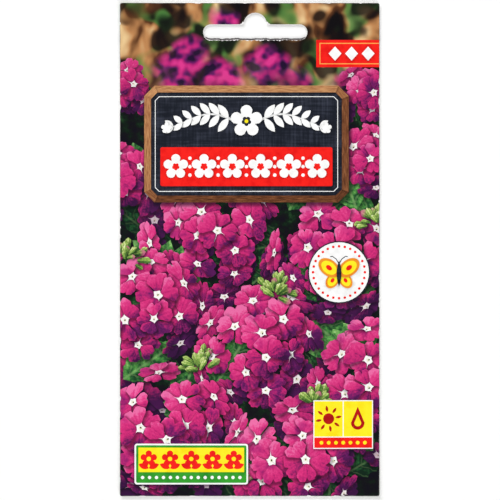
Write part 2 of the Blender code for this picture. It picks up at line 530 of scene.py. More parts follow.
def bare_paper(name, slot_painted_shade):
    """Bare white paper, at the cut edges, inside the packet and where the print has chipped, greyed by its
    tint, which paints shade along the cut edges. slot_painted_shade is how strongly painted shade darkens it
    in a band along the slot's lower edge."""
    shop = Shop(name)
    place = shop.place()
    fibres = shop.noise(place, 0.25, 4.0, 0.7)
    colour = shop.mix((222, 216, 214), (252, 249, 250), fibres.rise(0.3, 0.65))
    # Painted shade: the tint greys the thin strips along the cut edges.
    colour = shop.mix(colour, (84, 78, 76), shop.attribute("motif").part(2))
    height, bottom = place.part(1), SLOT_BAR_BOTTOM_Y * MM
    above = height.rise(bottom - 1.4 * MM, bottom - 0.3 * MM)
    below = height.rise(bottom + 1.6 * MM, bottom + 0.8 * MM)
    # Painted shade: a dark band along the slot's lower edge, where the back sheet shows under the front's
    # cut.
    colour = shop.mix(colour, (44, 32, 36), above * below * slot_painted_shade)
    return shop.set(base_color=colour, roughness=0.85, normal=shop.bump(fibres, 0.6, 0.05))


def sheet_lift(x, y):
    """How far the sealed sheets stand off the table in mm. The corners curl up with the cube of the way out
    along x times the fifth power along y, each by its own amount, and the long edges are faintly wavy."""
    out_x, out_y = x / HALF_WIDTH, y / HALF_LENGTH
    curl = 0.3 - 0.05 * out_x + 0.03 * out_y - 0.12 * out_x * out_y
    edge = 0.05 * (1 - np.sin(y * 0.09 + 2.0 * out_x)) * np.abs(out_x) ** 5 * (1 - out_y**8)
    return curl * np.abs(out_x) ** 3 * np.abs(out_y) ** 5 + edge


BACK_CREAM, BACK_GREEN, BACK_MAGENTA, BACK_WHITE, BACK_GREY, BACK_YELLOW, BACK_RED, BACK_CHARCOAL = range(8)
back_inks = [
    flat_ink("back_ink_cream", (247, 243, 230), (240, 234, 216), 9.0),
    flat_ink("back_ink_green", (66, 150, 56), (48, 128, 46)),
    flat_ink("back_ink_magenta", (212, 42, 112), (190, 30, 98)),
    flat_ink("back_ink_white", (252, 252, 250), (240, 240, 238)),
    flat_ink("back_ink_grey", (104, 104, 106), (84, 84, 88)),
    flat_ink("back_ink_yellow", (252, 214, 50), (246, 196, 30)),
    flat_ink("back_ink_red", (232, 52, 36), (212, 40, 30)),
    flat_ink("back_ink_charcoal", (44, 48, 58), (34, 37, 46)),
]
back_print = Print()
back_draw = np.random.default_rng(7)
back_print.lay(rectangle(-HALF_WIDTH - 3, -HALF_LENGTH - 3, HALF_WIDTH + 3, HALF_LENGTH + 3), BACK_CREAM)

# The header and the foot are green with a wavy magenta hem, and flowers stand beside the slot.
across = np.linspace(-HALF_WIDTH - 2, HALF_WIDTH + 2, 49)
for hem, ink in ((1.3, BACK_MAGENTA), (0.0, BACK_GREEN)):
    header_hem = 55.5 - hem + 1.1 * np.sin(across * 0.31)
    foot_hem = -68.5 + hem + 0.9 * np.sin(across * 0.44 + 1)
    for side, wave in ((1, header_hem), (-1, foot_hem)):
        beyond = np.array([(1, side), (-1, side)]) * (HALF_WIDTH + 2, HALF_LENGTH + 2)
        back_print.lay(np.vstack([np.column_stack([across, wave]), beyond])[::side], ink)
HEADER_FLOWERS = [
    (-30, 65, 5.2), (-24.5, 73, 2.6), (29, 63.5, 5.2), (34, 71.5, 2.8), (-36, 58.5, 1.9), (22, 59, 1.8),
]
for x, y, radius in HEADER_FLOWERS:
    for angle in (-150, -30):
        back_print.lay(blade((x, y), math.radians(angle), radius * 1.7, radius * 0.62), BACK_YELLOW)
    back_print.lay(rosette((x, y), radius), BACK_WHITE)
    back_print.lay(rosette((x, y), radius * 0.3, 0.3, 270), BACK_MAGENTA)

# A dark title bar with a sprig on it stands over two columns of ruled lines.
MARGIN = 34
LINE_PITCH = 2.5


def title_stem(x):
    """The height of the title's sprig: a shallow sine wave."""
    return 46 + 0.8 * np.sin((x + 22) * 0.2136)


def rule(x, y, length):
    """A ruled line, where a line of print would stand."""
    back_print.lay(rectangle(x, y - 0.4, x + length, y + 0.4, 0.3, 2), BACK_GREY)


back_print.lay(rectangle(-MARGIN, 41, MARGIN, 51, 2.2), BACK_CHARCOAL)
stem_x = np.linspace(-22, 22, 23)
back_print.lay(ribbon(np.column_stack([stem_x, title_stem(stem_x)]), 0.45), BACK_WHITE)
for number, x in enumerate(np.linspace(-21, 21, 15)):
    lean = math.radians(52 if number % 2 else -52)
    back_print.lay(blade((x, title_stem(x)), lean, 3.6, 1.5), BACK_WHITE)
for x in (-MARGIN, 4):
    back_print.lay(rectangle(x, 36.6, x + 30, 38.8, 0.8), BACK_RED)
for x in (-MARGIN, 4):
    for number in range(11):
        share = back_draw.uniform(0.45, 0.7) if number in (4, 10) else back_draw.uniform(0.93, 1.0)
        rule(x, 33.6 - number * LINE_PITCH, 30 * share)

# A sowing calendar has twelve cells to a row and a bar for each season of work.
CALENDAR_LEFT, CALENDAR_FOOT = -33.8, -11.8
MONTH_WIDTH, ROW_HEIGHT = 5.6333, 3.95
CELL_START, CELL_END = 0.15, 5.48
SEASON_BARS = [(2, 1.6, 4.1, BACK_YELLOW), (1, 4.3, 6.0, BACK_CHARCOAL), (0, 5.6, 10.2, BACK_MAGENTA)]
back_print.lay(rectangle(-34.2, -12.2, 34.2, 4.2, 0.9), BACK_GREEN)
for column in range(12):
    x = CALENDAR_LEFT + column * MONTH_WIDTH
    back_print.lay(rectangle(x + CELL_START, 0.2, x + CELL_END, 3.8, 0.3, 2), BACK_WHITE)
    back_print.lay(rosette((x + 2.8, 2), 0.7 + 0.07 * column), BACK_GREEN)
    for row in range(3):
        y = CALENDAR_FOOT + row * ROW_HEIGHT
        back_print.lay(rectangle(x + CELL_START, y, x + CELL_END, y + 3.7, 0.2, 1), BACK_CREAM)
for row, first, last, ink in SEASON_BARS:
    x0, x1 = CALENDAR_LEFT + first * MONTH_WIDTH, CALENDAR_LEFT + last * MONTH_WIDTH
    y = CALENDAR_FOOT + row * ROW_HEIGHT
    back_print.lay(rectangle(x0, y + 0.9, x1, y + 2.8, 0.9), ink)


def lay_sun(printing, x, y, radius, rays, first, length, ink):
    """A round sun with pointed rays that start a little way off it, the first at an angle in degrees."""
    for step in range(rays):
        turn = math.radians(360 / rays * step + first)
        printing.lay(blade(toward(turn) * (radius + 0.4) + (x, y), turn, length, 0.8), ink)
    printing.lay(disc(x, y, radius, 18), ink)


# Four discs show sun, water, the seedling and its spacing.
SUN_X, WATER_X, SEEDLING_X, SPACING_X = -25.5, -8.5, 8.5, 25.5
DISC_Y = -21.5
ARROW_Y = DISC_Y + 3.1
for x in (SUN_X, WATER_X, SEEDLING_X, SPACING_X):
    back_print.lay(disc(x, DISC_Y, 6.4, 24), BACK_GREEN)
    back_print.lay(disc(x, DISC_Y, 5.8, 24), BACK_WHITE)
lay_sun(back_print, SUN_X, DISC_Y, 2.3, 10, 0, 2.1, BACK_YELLOW)
back_print.lay(drop(WATER_X, DISC_Y - 1.1, 2.4, 5.2), BACK_CHARCOAL)
for x, size in ((SEEDLING_X, 1.0), (SPACING_X - 2.2, 0.62), (SPACING_X + 2.2, 0.62)):
    foot = DISC_Y - 3.1
    back_print.lay(ribbon([(x, foot), (x, foot + 2.6 * size), (x, foot + 4.2 * size)], 0.5), BACK_GREEN)
    for angle in (28, 152):
        leaf_base = (x, foot + 0.2 + 3.2 * size)
        back_print.lay(blade(leaf_base, math.radians(angle), 3.8 * size, 1.9 * size), BACK_GREEN)
shaft = [(SPACING_X + x, ARROW_Y) for x in (-2.9, 0, 2.9)]
back_print.lay(ribbon(shaft, 0.4), BACK_RED)
for side in (-1, 1):
    head = np.array([(3.3, 0), (1.9, 0.9), (1.9, -0.9)]) * side
    back_print.lay(head + (SPACING_X, ARROW_Y), BACK_RED)

# More ruled lines, a large flower at the lower left, and a blank white panel for the packer's stamp.
BLOOM = (-20, -57)
for number in range(6):
    share = 0.42 if number == 5 else back_draw.uniform(0.95, 1.0)
    rule(-MARGIN, -32 - number * LINE_PITCH, 2 * MARGIN * share)
for angle in (200, 340, 262):
    back_print.lay(blade(BLOOM, math.radians(angle), 12.5, 4.6), BACK_GREEN)
back_print.lay(rosette(BLOOM, 7.6), BACK_MAGENTA)
back_print.lay(rosette(BLOOM, 2.0, 0.45, 270), BACK_WHITE)
back_print.lay(disc(*BLOOM, 0.6, 8), BACK_YELLOW)
back_print.lay(rectangle(3.6, -65.4, 34.4, -49.6, 0.8), BACK_GREY)
back_print.lay(rectangle(3.9, -65.1, 34.1, -49.9, 0.6), BACK_WHITE)

# The back sheet's slot stands a little proud of the front's along its lower edge, where the punch slipped.
back_slot = slot_outline(-SLOT_CENTRE_X, slot_wander(-BAR_X) + back_draw.uniform(-0.07, 0.07, len(BAR_X)))
back_slot[:, 1] += BURR * np.clip((SLOT_BAR_BOTTOM_Y + 1.2 - back_slot[:, 1]) / 0.9, 0, 1)
# The back's bare paper carries painted shade along the slot's lower edge.
back_sheet = closed_sheet(
    "printed_back", back_print, back_inks, bare_paper("back_inside", 0.9), back_slot, sheet_lift, -1, 4.0,
)
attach(back_sheet, "root")
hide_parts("back_sheet")

# The seeds.
# Loose verbena nutlets: dry, brown and a little longer than wide, with fine ribs along the rounded back that
# turn into a net at the blunt end, and a paler, grainy belly with a keel. They lie where the CAD puts them.
SEED_AROUND, SEED_ALONG = 30, 26
SEED_NAMES = sorted(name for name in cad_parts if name.startswith("seed_"))


def seed_shape(turn_share, length_share, phase):
    """A nutlet along x, in half-lengths, half-widths and half-heights: an oval profile, blunter at -x, times
    a section that is round above and roof-shaped below. Ribs lift it by the cosine of seven turns, and a net
    of short cross ribs joins them towards the blunt end. Also gives how high the ribs stand."""
    theta, phi = turn_share * 2 * math.pi, length_share * math.pi
    along = -np.cos(phi)
    profile = np.sin(phi) ** 0.62 * (1 - 0.14 * along)
    back = np.clip(np.sin(theta), 0, 1)
    keel = np.clip(-np.sin(theta), 0, 1)
    ribs = np.cos(7 * theta + 0.5 * np.sin(3 * along + phase)) * 0.5 + 0.5
    net = np.clip(np.cos(along * 21 + 2 * np.sin(theta * 2 + phase)), 0, 1) * np.clip(-along + 0.1, 0, 1)
    relief = back**0.5 * np.maximum(ribs**2, net) * np.sin(phi) ** 0.5
    reach = profile * (1 + 0.11 * (relief - 0.6) * back**0.3)
    height = np.sin(theta) * np.where(keel > 0, 0.78 + 0.22 * keel**2, 1.0)
    return along, np.cos(theta) * reach, height * reach, relief


def seed_pile(names):
    """All the nutlets as one mesh, each along its CAD solid's long axis, at that solid's size and place."""
    around, down = np.meshgrid(np.arange(SEED_AROUND) / SEED_AROUND, np.linspace(0.02, 0.98, SEED_ALONG))
    steps = np.arange(SEED_AROUND * (SEED_ALONG - 1)).reshape(SEED_ALONG - 1, SEED_AROUND)
    beside = np.roll(steps, -1, axis=1)
    quads = np.stack([steps, beside, beside + SEED_AROUND, steps + SEED_AROUND], axis=-1).reshape(-1, 4)
    ring = np.arange(SEED_AROUND)
    start_pole = SEED_AROUND * SEED_ALONG
    last_ring = start_pole - SEED_AROUND
    start_cap = np.column_stack([np.roll(ring, -1), ring, np.full(SEED_AROUND, start_pole)])
    end_cap = np.column_stack([
        ring + last_ring, np.roll(ring, -1) + last_ring, np.full(SEED_AROUND, start_pole + 1),
    ])
    points, reliefs, quad_faces, cap_faces = [], [], [], []
    for number, name in enumerate(names):
        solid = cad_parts[name].data
        corners = np.empty(len(solid.vertices) * 3)
        solid.vertices.foreach_get("co", corners)
        corners = corners.reshape(-1, 3)
        middle = (corners.min(axis=0) + corners.max(axis=0)) / 2
        flat = (corners - middle)[:, :2]
        _, axes = np.linalg.eigh(flat.T @ flat)
        long_axis, short_axis = axes[:, 1], np.array([-axes[1, 1], axes[0, 1]])
        half = [np.abs(flat @ axis).max() for axis in (long_axis, short_axis)]
        half.append(corners[:, 2].max() - middle[2])
        x, y, z, relief = seed_shape(around, down, number * 1.7)
        poles = np.array([(-1.0, 0.0, 0.0), (1.0, 0.0, 0.0)])
        shape = np.vstack([np.column_stack([x.ravel(), y.ravel(), z.ravel()]), poles])
        shape = np.clip(shape, -1, 1) * half
        lying = shape[:, :1] * long_axis + shape[:, 1:2] * short_axis + middle[:2]
        points.append(np.column_stack([lying, shape[:, 2] + middle[2]]))
        reliefs.append(np.concatenate([relief.ravel(), [0.3, 0.3]]) + 0.35 * math.sin(number * 2.4))
        quad_faces.append(quads + number * len(shape))
        cap_faces.append(np.vstack([start_cap, end_cap]) + number * len(shape))
    mesh = bpy.data.meshes.new("verbena_seeds")
    faces = [*np.concatenate(quad_faces).tolist(), *np.concatenate(cap_faces).tolist()]
    mesh.from_pydata(np.concatenate(points).tolist(), [], faces)
    mesh.attributes.new("rib", "FLOAT", "POINT").data.foreach_set("value", np.concatenate(reliefs))
    mesh.shade_smooth()
    pile = bpy.data.objects.new("verbena_seeds", mesh)
    bpy.context.scene.collection.objects.link(pile)
    return pile


def seed_coat():
    """The dry coat: dark brown between the ribs and tan on them, with a fine grain."""
    shop = Shop("seed_coat")
    place = shop.place()
    spot = shop.noise(place, 0.35, 4.0, 0.65)
    coat = shop.ramp(
        shop.attribute("rib", "Fac") * 0.55 + spot * 0.7 - 0.12,
        (0.0, (52, 31, 20)), (0.35, (92, 57, 33)), (0.7, (140, 94, 56)), (1.0, (196, 156, 108)),
    )
    bump = shop.bump(shop.noise(place, 0.12, 3.0, 0.7), 0.6, 0.03)
    return shop.set(base_color=coat, roughness=0.62 + spot * 0.25, ior_level=0.35, normal=bump)


seeds = seed_pile(SEED_NAMES)
seeds.data.materials.append(seed_coat())
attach(seeds, "root")
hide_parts(*SEED_NAMES)

# The front sheet's form.
# A rectangle of paper with a clear film on it, sealed to the back sheet round all four edges. It swells over
# the pocket like a flat cushion, and puckers a little where the swell meets the seals.
FRONT_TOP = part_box("front_sheet")[1][2] / MM
SEAL_TOP = 3 * SHEET_THICKNESS
SWELL = FRONT_TOP - SEAL_TOP
POCKET_HALF_WIDTH = HALF_WIDTH - SIDE_SEAL
POCKET_HALF_LENGTH = HALF_LENGTH - (BOTTOM_SEAL + HEADER_SEAL) / 2
POCKET_CENTRE_Y = (BOTTOM_SEAL - HEADER_SEAL) / 2
PUCKER = 0.09


def front_height(x, y):
    """The printed face's height in mm. On the seals it follows the back sheet. Over the pocket it adds a lens
    across the width, times a flatter one along the length, and small waves that run into the seals and fade
    inward."""
    across = np.clip(np.abs(x) / POCKET_HALF_WIDTH, 0, 1)
    along = np.clip(np.abs(y - POCKET_CENTRE_Y) / POCKET_HALF_LENGTH, 0, 1)
    lens = SWELL * (1 - across**2.2) * (1 - along**4)
    pocket = (1 - across**8) * (1 - along**16)
    side_waves = np.sin(y * 0.62 + 1.3 * np.sin(y * 0.13)) * across**3 * (1 - across**8)
    end_waves = np.sin(x * 0.55 + 0.8 * np.sin(x * 0.21 + 2)) * along**5 * (1 - along**16)
    puckers = PUCKER * pocket * (side_waves * (1 - along**16) + 1.5 * end_waves - 0.6)
    return SEAL_TOP + sheet_lift(x, y) + lens + puckers


# The front's flower picture: its inks.
# Each is a process print of a photograph: colours run softly inside a motif, with the veins and the light of
# the real petal or leaf in them. The motif attribute holds the motif's own x and y and its tint.
LOBE_X, LOBE_Y, LOBE_RADIUS = 0.66, 0.2, 0.3
FAR_BLOOMS = [
    (-21, 56, 5.5), (-16, 62.5, 4.5), (-6, 54.5, 5.5), (-5, 73, 3.6),
    (8, 58, 5.5), (17, 53.5, 4.5), (32, 53, 4), (-37, 53, 4),
]


def motif_parts(shop):
    """What an ink knows of its motif: its own x and y, and its tint."""
    own = shop.attribute("motif")
    return own.part(0), own.part(1), own.part(2)


def light_on(shop, along, across):
    """How brightly a motif is lit: the light at its origin, and the change along each of its axes."""
    light = shop.attribute("light")
    return light.part(0) + light.part(1) * along + light.part(2) * across


def ground_ink():
    """The dark foliage behind everything, which turns into an out-of-focus garden towards the header: earth,
    dry grass and green in soft drifts, with far blooms as soft round spots."""
    shop = Shop("ink_ground")
    place = shop.place()
    drift = shop.noise(place, 9, 1.0, output="Color")
    bent = shop.vector("ADD", shop.vector("MULTIPLY", drift, (5 * MM,) * 3), place)
    dark = shop.ramp(
        shop.noise(place, 3.2, 4.0, 0.6, (0.3, 0.1, 0)),
        (0.3, (13, 9, 24)), (0.48, (15, 15, 20)), (0.6, (12, 31, 19)), (0.78, (38, 72, 40)),
    )
    garden = shop.ramp(
        shop.noise(shop.vector("MULTIPLY", bent, (1.0, 0.6, 1.0)), 6.5, 1.5),
        (0.34, (18, 12, 12)), (0.46, (92, 54, 30)), (0.56, (190, 134, 84)), (0.7, (236, 204, 150)),
    )
    green = shop.noise(bent, 9, 1.0, shift=(0.7, 0.2, 0))
    garden = shop.mix(garden, (84, 138, 66), green.rise(0.5, 0.64) * 0.9)
    garden = shop.mix(garden, (34, 66, 36), green.rise(0.58, 0.74) * 0.8)
    depth = shop.noise(bent, 8, 1.0, shift=(0.1, 0.9, 0))
    garden = shop.mix(garden, (11, 8, 12), depth.rise(0.46, 0.6) * 0.94)
    hue = shop.ramp(
        shop.noise(place, 3.6, 1.0, shift=(0.2, 0.5, 0)),
        (0.36, (32, 11, 48)), (0.46, (104, 26, 98)), (0.56, (184, 36, 118)), (0.68, (220, 56, 140)),
    )
    for x, y, radius in FAR_BLOOMS:
        gap = shop.vector("DISTANCE", bent, (x * MM, y * MM, SEAL_TOP * MM), "Value")
        garden = shop.mix(garden, hue, gap.rise(radius * 1.6 * MM, radius * 0.85 * MM) * 0.96)
        garden = shop.mix(garden, (232, 190, 222), gap.rise(1.2 * MM, 0.1 * MM) * 0.6)
    upward = place.part(1) + (shop.noise(place, 14, 1.0) - 0.5) * (22 * MM)
    return laminate(shop, shop.mix(dark, garden, upward.rise(44 * MM, 56 * MM)))


def petal_ink():
    """Velvety petals: plum at the claw and in the fold, magenta over the blade and pink where light falls.
    Each of the two lobes is a shallow dome with a paler rim, fine veins fan out from the claw, and soft
    violet patches lie where the petal turns away."""
    shop = Shop("ink_petal")
    along, across, tint = motif_parts(shop)
    place = shop.place()
    mottle = shop.noise(place, 1.3, 3.0, 0.6)
    speck = shop.noise(place, 0.45, 2.0, 0.6)
    patch = shop.noise(place, 5.5, 2.0, shift=(0.4, 0, 0)).rise(0.5, 0.7)
    side = across.rise(-0.12, 0.12) * 2 - 1
    lobe_x = along - LOBE_X
    lobe_y = across - side * LOBE_Y
    from_lobe = (lobe_x * lobe_x + lobe_y * lobe_y) ** 0.5
    rim = from_lobe.rise(LOBE_RADIUS * 0.88, LOBE_RADIUS * 1.02) * along.rise(0.45, 0.7)
    lit = light_on(shop, along - 0.55, across * 0.85 + lobe_y * 0.4)
    fan = across.math("ARCTAN2", along + 0.12)
    veins = ((fan * 30 + mottle * 7).sine() * 0.5 + 0.5) * along.rise(0.15, 0.5) * along.rise(1.0, 0.7)
    middle = abs(across + (mottle - 0.5) * 0.1).rise(0.055, 0.0)
    fold = middle * along.rise(0.1, 0.35) * along.rise(0.88, 0.55)
    glow = lit + (mottle - 0.5) * 0.62 + (speck - 0.5) * 0.5 + 0.64
    glow = glow - fold * 0.16 - veins * 0.1 + rim * 0.13 - patch * 0.24 - tint * 0.45
    colour = shop.ramp(
        glow, (0.0, (58, 16, 62)), (0.2, (123, 28, 94)), (0.42, (194, 39, 112)), (0.6, (218, 48, 123)),
        (0.82, (231, 70, 140)), (1.0, (241, 112, 170)),
    )
    colour = shop.mix(colour, (122, 32, 116), patch * 0.36)
    colour = shop.mix(colour, (96, 16, 80), along.rise(0.34, 0.1) * 0.45)
    colour = shop.mix(colour, (48, 16, 60), tint * 0.55)
    return shaded(shop, colour, (17, 8, 28), 0.95)


def eye_ink():
    """The white eye round a floret's throat, cream towards the middle and pink along its spikes."""
    shop = Shop("ink_eye")
    x, y, tint = motif_parts(shop)
    from_middle = (x * x + y * y) ** 0.5
    grime = shop.noise(shop.place(), 0.6, 2.0)
    colour = shop.mix((236, 232, 198), (254, 252, 250), from_middle.rise(0.15, 0.55))
    colour = shop.mix(colour, (240, 186, 212), from_middle.rise(1.0, 1.6))
    colour = shop.mix(colour, (206, 196, 188), grime.rise(0.5, 0.7) * 0.5)
    colour = shop.mix(colour, (128, 48, 108), tint * 0.6)
    return shaded(shop, colour, (70, 30, 74), 0.8)


def throat_ink():
    """The dark mouth of the floret's tube."""
    shop = Shop("ink_throat")
    side = shop.attribute("motif").part(0).rise(-0.5, 1.4)
    return laminate(shop, shop.mix((24, 30, 22), (112, 108, 70), side))


def leaf_ink():
    """A toothed leaf: a thin pale midrib, side veins that run forward to the teeth, and quilted, blotchy
    flesh between them with a wet shine on its raised parts."""
    shop = Shop("ink_leaf")
    along, across, tint = motif_parts(shop)
    place = shop.place()
    mottle = shop.noise(place, 1.1, 4.0, 0.65)
    wander = (shop.noise(place, 2.4, 2.0) - 0.5) * 0.9
    rows = (along * 5.5 - abs(across) * 2.4 + wander) * (2 * math.pi)
    quilt = rows.sine() * 0.5 + 0.5
    vein = quilt.rise(0.1, 0.0) * 0.6
    rib = abs(across + wander * 0.03).rise(0.05, 0.01)
    glow = light_on(shop, along, across) * 0.5 + quilt * 0.26 + (mottle - 0.5) * 1.3 + 0.3 - tint * 0.5
    colour = shop.ramp(
        glow, (0.0, (14, 38, 25)), (0.3, (34, 84, 44)), (0.55, (72, 138, 64)), (0.8, (126, 184, 98)),
        (1.0, (196, 228, 166)),
    )
    colour = shop.mix(colour, (148, 190, 120), vein.math("MAXIMUM", rib) * 0.42 * (1 - tint * 0.8))
    return shaded(shop, colour, (6, 10, 13), 0.92)


def bud_ink():
    """Young buds: slim green tubes, ribbed lengthwise, yellow-green at the tip, with a pale shine."""
    shop = Shop("ink_bud")
    along, across, tint = motif_parts(shop)
    mottle = shop.noise(shop.place(), 0.5, 3.0, 0.6)
    ribs = (across * 7 + mottle * 2).sine()
    lit = light_on(shop, along, across)
    glow = lit * 0.55 + along * 0.3 + (mottle - 0.5) * 0.8 + 0.32 - abs(across) * 0.15 + ribs * 0.09
    colour = shop.ramp(
        glow, (0.0, (22, 52, 26)), (0.3, (74, 116, 48)), (0.6, (150, 182, 86)), (0.85, (214, 226, 150)),
        (1.0, (244, 246, 216)),
    )
    colour = shop.mix(colour, (204, 92, 140), tint.rise(0.8, 0.85) * along.rise(0.5, 0.9) * 0.8)
    return shaded(shop, colour, (12, 22, 20), 0.9)


# The front's label and marks: their inks.
# Flat process colours, a woven charcoal field like bookcloth, and brown strips with the grain of wood.
(
    GROUND, PETAL, EYE, THROAT, LEAF, BUD, CHARCOAL, WOOD,
    RED, WHITE, YELLOW, GREEN, ORANGE, GOLD, DARK_RED, CHIP_AND_EDGE_SHADE,
) = range(16)


def charcoal_ink():
    """The label's dark field, like bookcloth: noise drawn out along y gives the warp and along x the weft,
    over slow cloudy light."""
    shop = Shop("ink_charcoal")
    place = shop.place()
    warp = shop.noise(shop.vector("MULTIPLY", place, (1.0, 0.05, 1.0)), 0.55, 1.0)
    weft = shop.noise(shop.vector("MULTIPLY", place, (0.05, 1.0, 1.0)), 0.55, 1.0)
    glow = shop.noise(place, 6, 4.0, 0.6) * 0.8 + (warp + weft - 1) * 0.6
    return shaded(shop, shop.mix((24, 28, 38), (60, 64, 78), glow.rise(0.25, 0.85)), (6, 8, 12), 0.75)


def wood_ink():
    """The label's frame, printed as planed strips of brown wood. Its own x, in mm, runs along each strip."""
    shop = Shop("ink_wood")
    stretched = shop.vector("MULTIPLY", shop.attribute("motif"), (0.2 * MM, 2.4 * MM, MM))
    grain = shop.noise(stretched, 0.625, 5.0, 0.65)
    colour = shop.ramp(
        grain * 1.1 + shop.attribute("light").part(0) * 0.22,
        (0.25, (70, 38, 22)), (0.45, (122, 73, 44)), (0.62, (160, 106, 68)), (0.85, (206, 152, 102)),
    )
    return shaded(shop, colour, (30, 16, 8), 0.7)


front_inks = [
    ground_ink(), petal_ink(), eye_ink(), throat_ink(), leaf_ink(), bud_ink(), charcoal_ink(), wood_ink(),
    flat_ink("ink_red", (248, 34, 28), (228, 22, 20)),
    flat_ink("ink_white", (253, 253, 252), (242, 242, 240)),
    flat_ink("ink_yellow", (255, 240, 40), (252, 226, 20)),
    flat_ink("ink_green", (56, 160, 48), (38, 138, 40)),
    flat_ink("ink_orange", (242, 152, 44), (230, 122, 32)),
    flat_ink("ink_gold", (250, 170, 84), (240, 146, 66)),
    flat_ink("ink_dark_red", (186, 20, 22), (160, 14, 18)),
    # Bare paper for chips, rubbed marks and the painted shade along the cut edges.
    bare_paper("chipped_paper_and_edge_shade", 0.0),
]

# The front's flower picture: its motifs.
# A verbena head is a low dome of florets, each with five notched petals round a white eye. The heads stand
# over toothed leaves, with tufts of green buds between them.
draw = np.random.default_rng(23)
LIGHT = np.array([-0.55, 0.83])
GOLDEN_ANGLE = 2.399963
DEEP_LEAVES, DEEP_FLORETS = 44, 64
front_print = Print()


def facing(angle, start, lengthwise, crosswise):
    """How a motif that points along an angle takes the light: at its start, and how much more of it along its
    length and across it, each in full where that axis points to the light."""
    return start, lengthwise * toward(angle) @ LIGHT, crosswise * toward(angle + math.pi / 2) @ LIGHT


def petal_outline():
    """A petal along its own x from the claw at 0 to the tip near 1: flanks that widen in a slight curve into
    two round lobes with a shallow notch between them. Each lobe is an arc, made uneven by a sine wave."""
    notch_point = np.array([[draw.uniform(0.76, 0.88), draw.uniform(-0.03, 0.03)]])
    halves = []
    for sign in (1, -1):
        radius = LOBE_RADIUS + draw.uniform(-0.03, 0.025)
        reach = LOBE_X + draw.uniform(-0.045, 0.045)
        lobe = arc(reach, LOBE_Y, radius, 118, -math.degrees(math.asin(LOBE_Y * 0.9 / radius)), 10)
        wave = 1 + 0.075 * np.sin(np.arange(11) * draw.uniform(1.2, 2.2) + draw.uniform(0, 6.28))
        lobe = (lobe - (reach, LOBE_Y)) * wave[:, None] + (reach, LOBE_Y)
        share = np.linspace(0, 1, 6)[:-1, None]
        flank = (1 - share) * (0.05, 0.035) + share * lobe[0]
        flank[:, 1] -= draw.uniform(0.02, 0.07) * np.sin(math.pi * share[:, 0])
        halves.append((np.vstack([flank, lobe[:-1]]) * (1, sign))[::sign])
    outline = np.vstack([halves[0], notch_point, halves[1]])
    outline[:, 1] += draw.uniform(-0.18, 0.18) * outline[:, 0] ** 2
    return outline[::-1]


def lay_floret(centre, radius, lean, leaning, tint):
    """Five petals round a white eye. leaning is the direction that the floret leans in, lean how far."""
    narrow = np.eye(2) - (1 - math.cos(lean)) * np.outer(toward(leaning), toward(leaning))
    faces_light = 0.35 * math.sin(lean) * toward(leaning) @ LIGHT
    spin = draw.uniform(0, 2 * math.pi)
    for step in draw.permutation(5):
        angle = spin + step * 2 * math.pi / 5 + draw.uniform(-0.13, 0.13)
        length = radius * draw.uniform(0.84, 1.1)
        axes = narrow @ turned(angle, length, length * draw.uniform(0.84, 1.2))
        start = faces_light + 0.1 * toward(angle) @ LIGHT + draw.uniform(-0.17, 0.15)
        light = facing(angle, start, draw.uniform(0.1, 0.9), draw.uniform(0.2, 1.1))
        outline = petal_outline() @ axes.T + centre
        deeper = tint + draw.uniform(0, 0.15)
        front_print.lay(outline, PETAL, centre, axes, deeper, light, (0.75, 0.14 * radius))
    axes = narrow @ turned(spin + math.pi / 5, radius * 0.2, radius * 0.2)
    turns = np.repeat(np.arange(5) * 2 * math.pi / 5, 4) + np.tile((-0.34, -0.1, 0.0, 0.1), 5)
    reach = np.tile((0.86, 1.02, 1.2, 1.02), 5) * draw.uniform(0.88, 1.12, 20)
    reach[2::4] *= draw.choice([0.95, 1.1, 1.75], 5, p=(0.4, 0.35, 0.25))
    eye = np.column_stack([np.cos(turns), np.sin(turns)]) * reach[:, None]
    front_print.lay(eye @ axes.T + centre, EYE, centre, axes, min(tint, 1.0), shadow=(0.3, 0.35))
    mouth = centre + draw.uniform(-0.05, 0.05, 2) * radius
    axes = turned(draw.uniform(0, 6), radius * draw.uniform(0.03, 0.055), radius * draw.uniform(0.022, 0.035))
    front_print.lay(disc(0, 0, 1, 8) @ axes.T + mouth, THROAT, mouth, axes)


def lay_leaf(base, angle, length, width, teeth, tint):
    """A leaf from its base: a pointed oval whose edge steps out and back at each tooth."""
    axes = turned(angle, length, width)
    steps = np.arange(teeth * 2 + 1) / (teeth * 2)
    tooth = np.arange(teeth * 2 + 1) % 2 == 1
    half = 0.5 * np.abs(np.sin(math.pi * steps**0.8)) ** 0.85 * np.where(tooth, 1.0, 0.72)
    half *= draw.uniform(0.9, 1.1, len(steps))
    upper = np.column_stack([steps + np.where(tooth, 0.03, 0.0), half])
    upper[-1] = (1.03, 0)
    outline = np.vstack([[[0, 0]], upper[1:], upper[-2:0:-1] * (1, -1)])
    outline[:, 1] += 0.25 * draw.uniform(-1, 1) * (outline[:, 0] ** 2 - outline[:, 0])
    light = facing(angle, draw.uniform(-0.2, 0.2), 0.2, 0.9)
    front_print.lay(outline[::-1] @ axes.T + base, LEAF, base, axes, tint, light, (0.6, 1.1))


def lay_buds(centre, radius, count, upward):
    """A tuft of slim buds that fan out about one direction, the outer ones first."""
    for number in range(count):
        share = 1 - number / count
        angle = upward + draw.uniform(-1.5, 1.5)
        foot = centre + radius * 0.7 * share * toward(angle) + draw.uniform(-0.6, 0.6, 2)
        length = radius * draw.uniform(0.5, 0.85)
        angle += draw.uniform(-0.3, 0.3)
        axes = turned(angle, length, length * draw.uniform(0.18, 0.26))
        steps = np.linspace(0, 1, 8)
        half = np.array([0.35, 0.7, 0.8, 0.85, 1.0, 1.15, 0.8, 0.0])
        bud = np.vstack([np.column_stack([steps, half]), np.column_stack([steps, -half])[-2::-1]])
        light = facing(angle, draw.uniform(-0.15, 0.25), 0.3, 0.6)
        front_print.lay(bud[::-1] @ axes.T + foot, BUD, foot, axes, draw.uniform(0, 1), light, (0.65, 0.5))


